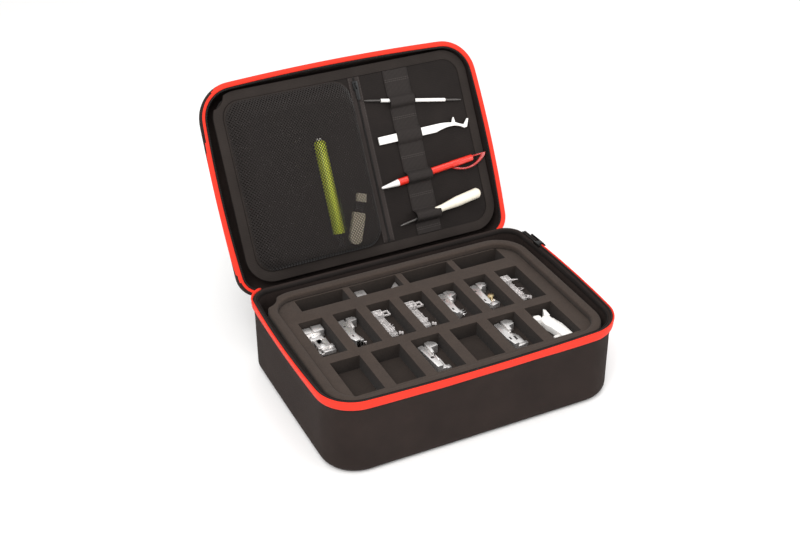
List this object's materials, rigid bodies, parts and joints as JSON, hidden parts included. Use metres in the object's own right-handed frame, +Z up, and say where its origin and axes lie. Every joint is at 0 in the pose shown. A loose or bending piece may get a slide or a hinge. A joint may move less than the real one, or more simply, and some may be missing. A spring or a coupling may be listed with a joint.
{
  "type": "sewing machine attachment box",
  "caption": "Open zipped case with a foam tray of presser feet in the base, and a mesh pocket and elastic loops with small tools in its hinged lid.",
  "frame": {"origin": "middle of the underside of the base", "axes": "+X to the right across the case, +Y from the front to the hinge, +Z up"},
  "size_m": [0.3555, 0.3942, 0.2898],
  "materials": {
    "case_cloth": "woven cloth over moulded foam",
    "red_tape": "woven zip tape",
    "black_coil": "moulded coil",
    "black_cloth": "smooth cloth",
    "foam": "closed-cell foam",
    "mesh": "knitted mesh",
    "elastic": "ribbed elastic",
    "slider_metal": "satin paint",
    "white_plastic": "gloss",
    "grey_metal": "brushed",
    "red_plastic": "gloss",
    "clear_red": "clear",
    "ivory": "satin",
    "lime": "satin",
    "dark_plastic": "clear",
    "clear_lime": "clear",
    "beige": "satin",
    "foot_steel": "polished",
    "clear_plastic": "clear",
    "brass": "polished"
  },
  "bodies": {
    "base": {"base_shell": "case_cloth", "base_zip_tape": "red_tape", "zip_end_tab": "black_cloth", "base_zip_coil": "black_coil", "base_lining": "black_cloth", "lower_tray": "foam"},
    "tray": {"tray_floor": "foam", "tray_grid": "foam", "tray_rim": "foam"},
    "lid": {"lid_shell": "case_cloth", "lid_zip_tape": "red_tape", "lid_zip_coil": "black_coil", "lid_lining": "black_cloth", "hinge_cloth": "black_cloth", "lid_foam": "foam", "lid_panel": "black_cloth", "panel_binding": "black_cloth", "mesh_pocket": "mesh", "pocket_zip_tape": "black_cloth", "pocket_zip_coil": "black_coil", "loop_strap": "elastic"},
    "zip_slider": {"zip_slider": "slider_metal"},
    "zip_pull": {"zip_slider_pull": "slider_metal"},
    "pocket_slider": {"pocket_zip_slider": "slider_metal"},
    "pocket_pull": {"pocket_slider_pull": "slider_metal"},
    "double_tool": {"double_tool_shaft": "white_plastic", "double_tool_tips": "grey_metal"},
    "flat_tool": {"flat_tool": "white_plastic"},
    "pen": {"pen_nose": "white_plastic", "pen_barrel": "red_plastic", "pen_clip": "clear_red"},
    "screwdriver": {"screwdriver_handle": "ivory", "screwdriver_blade": "grey_metal"},
    "marker": {"marker_barrel": "lime", "marker_button": "white_plastic", "marker_tip": "dark_plastic", "marker_clip": "clear_lime"},
    "brush": {"brush_cap": "beige", "brush_neck": "dark_plastic", "brush_body": "beige"},
    "zigzag_foot": {"zigzag_foot": "foot_steel"},
    "narrow_foot": {"narrow_foot": "foot_steel"},
    "clear_foot_left": {"clear_foot_left": "clear_plastic"},
    "clear_foot_right": {"clear_foot_right": "clear_plastic"},
    "hem_foot": {"hem_foot": "foot_steel", "hem_foot_wires": "foot_steel"},
    "screw_foot": {"screw_foot": "foot_steel", "foot_screw": "brass"},
    "open_toe_foot": {"open_toe_foot": "clear_plastic"},
    "blind_foot": {"blind_foot": "foot_steel"},
    "wide_foot": {"wide_foot": "foot_steel"},
    "edge_guide": {"edge_guide": "white_plastic"},
    "long_foot": {"long_foot": "foot_steel"},
    "wire_guides": {"wire_guides": "foot_steel"}
  },
  "joints": [
    {"name": "lid_hinge", "type": "hinge", "parent": "base", "child": "lid", "pos_m": [0, 0.1185, 0.083], "axis": [1, 0, 0], "range_deg": [0, 119.05]},
    {"name": "tray_lift", "type": "slide", "parent": "base", "child": "tray", "axis": [0, 0, -1], "range_m": [-0.06, 0]},
    {"name": "zip_travel", "type": "hinge", "parent": "base", "child": "zip_slider", "pos_m": [-1.14021, 0.0002, 0.096], "axis": [0, 0, -1], "range_deg": [0, 5.8]},
    {"name": "zip_pull_swing", "type": "hinge", "parent": "zip_slider", "child": "zip_pull", "pos_m": [0.17727, 0.06414, 0.0917], "axis": [0, 0, -1], "range_deg": [0, 170]},
    {"name": "pocket_zip_travel", "type": "slide", "parent": "lid", "child": "pocket_slider", "axis": [0, -0.4856, -0.8742], "range_m": [0, 0.165]},
    {"name": "pocket_pull_swing", "type": "hinge", "parent": "pocket_slider", "child": "pocket_pull", "pos_m": [0.0184, 0.2339, 0.2574], "axis": [-1, 0, 0], "range_deg": [0, 170]},
    {"name": "double_tool_slide", "type": "slide", "parent": "lid", "child": "double_tool", "axis": [-0.9846, 0.0848, 0.1527], "range_m": [-0.012, 0]},
    {"name": "flat_tool_slide", "type": "slide", "parent": "lid", "child": "flat_tool", "axis": [-1, 0, 0], "range_m": [-0.01, 0]},
    {"name": "pen_slide", "type": "slide", "parent": "lid", "child": "pen", "axis": [0.9956, 0.0454, 0.0817], "range_m": [-0.01, 0]},
    {"name": "screwdriver_slide", "type": "slide", "parent": "lid", "child": "screwdriver", "axis": [-0.9874, -0.0768, -0.1382], "range_m": [-0.014, 0]},
    {"name": "marker_slide", "type": "slide", "parent": "lid", "child": "marker", "axis": [0, -0.4856, -0.8742], "range_m": [-0.04, 0]},
    {"name": "brush_slide", "type": "slide", "parent": "lid", "child": "brush", "axis": [0, -0.4856, -0.8742], "range_m": [-0.01, 0]},
    {"name": "zigzag_foot_lift", "type": "slide", "parent": "tray", "child": "zigzag_foot", "axis": [0, 0, -1], "range_m": [-0.03, 0]},
    {"name": "narrow_foot_lift", "type": "slide", "parent": "tray", "child": "narrow_foot", "axis": [0, 0, -1], "range_m": [-0.03, 0]},
    {"name": "clear_foot_left_lift", "type": "slide", "parent": "tray", "child": "clear_foot_left", "axis": [0, 0, -1], "range_m": [-0.03, 0]},
    {"name": "clear_foot_right_lift", "type": "slide", "parent": "tray", "child": "clear_foot_right", "axis": [0, 0, -1], "range_m": [-0.03, 0]},
    {"name": "hem_foot_lift", "type": "slide", "parent": "tray", "child": "hem_foot", "axis": [0, 0, -1], "range_m": [-0.03, 0]},
    {"name": "screw_foot_lift", "type": "slide", "parent": "tray", "child": "screw_foot", "axis": [0, 0, -1], "range_m": [-0.03, 0]},
    {"name": "open_toe_foot_lift", "type": "slide", "parent": "tray", "child": "open_toe_foot", "axis": [0, 0, -1], "range_m": [-0.03, 0]},
    {"name": "blind_foot_lift", "type": "slide", "parent": "tray", "child": "blind_foot", "axis": [0, 0, -1], "range_m": [-0.03, 0]},
    {"name": "wide_foot_lift", "type": "slide", "parent": "tray", "child": "wide_foot", "axis": [0, 0, -1], "range_m": [-0.03, 0]},
    {"name": "edge_guide_lift", "type": "slide", "parent": "tray", "child": "edge_guide", "axis": [0, 0, -1], "range_m": [-0.03, 0]},
    {"name": "long_foot_lift", "type": "slide", "parent": "tray", "child": "long_foot", "axis": [0, 0, -1], "range_m": [-0.03, 0]},
    {"name": "wire_guides_lift", "type": "slide", "parent": "tray", "child": "wire_guides", "axis": [0, 0, -1], "range_m": [-0.03, 0]}
  ]
}
